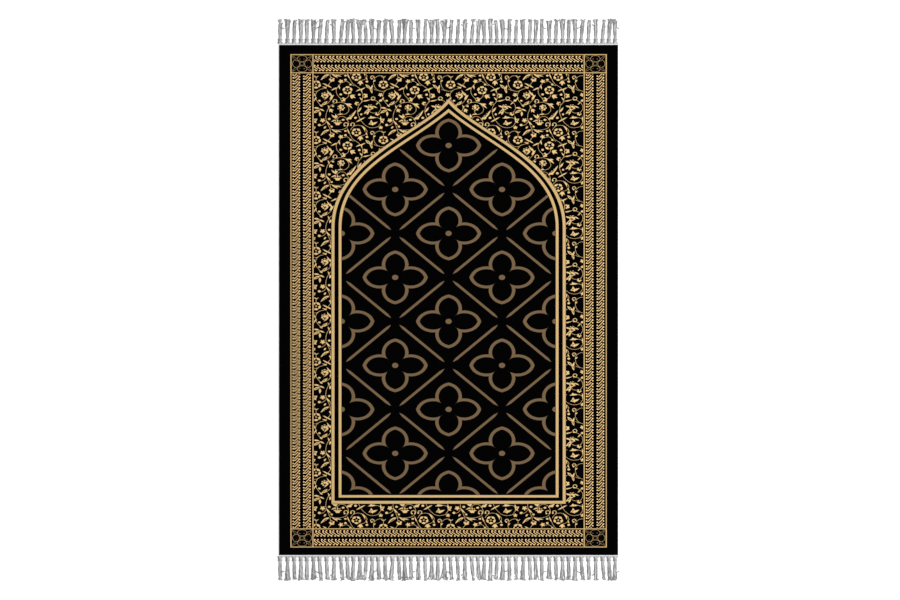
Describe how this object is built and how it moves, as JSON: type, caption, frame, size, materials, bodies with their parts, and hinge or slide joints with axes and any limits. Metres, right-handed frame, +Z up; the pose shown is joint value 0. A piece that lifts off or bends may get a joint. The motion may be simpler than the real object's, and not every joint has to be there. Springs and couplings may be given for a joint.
{
  "type": "prayer rug",
  "caption": "Flat rectangular prayer rug with a woven arch, a lattice field, a floral border and a knotted fringe along both ends.",
  "frame": {"origin": "on the floor under the middle of the rug", "axes": "+Y along the rug towards the end where the woven arch has its tip, +X across it to the right of someone at the foot end, +Z up"},
  "size_m": [0.7028, 1.1626, 0.0052],
  "materials": {
    "pile": "short cut pile in black with gold and brown figures",
    "fringe_yarn": "pale grey twisted yarn"
  },
  "bodies": {
    "root": {"rug_body": "pile", "fringe_top": "fringe_yarn", "fringe_bottom": "fringe_yarn"}
  },
  "joints": []
}
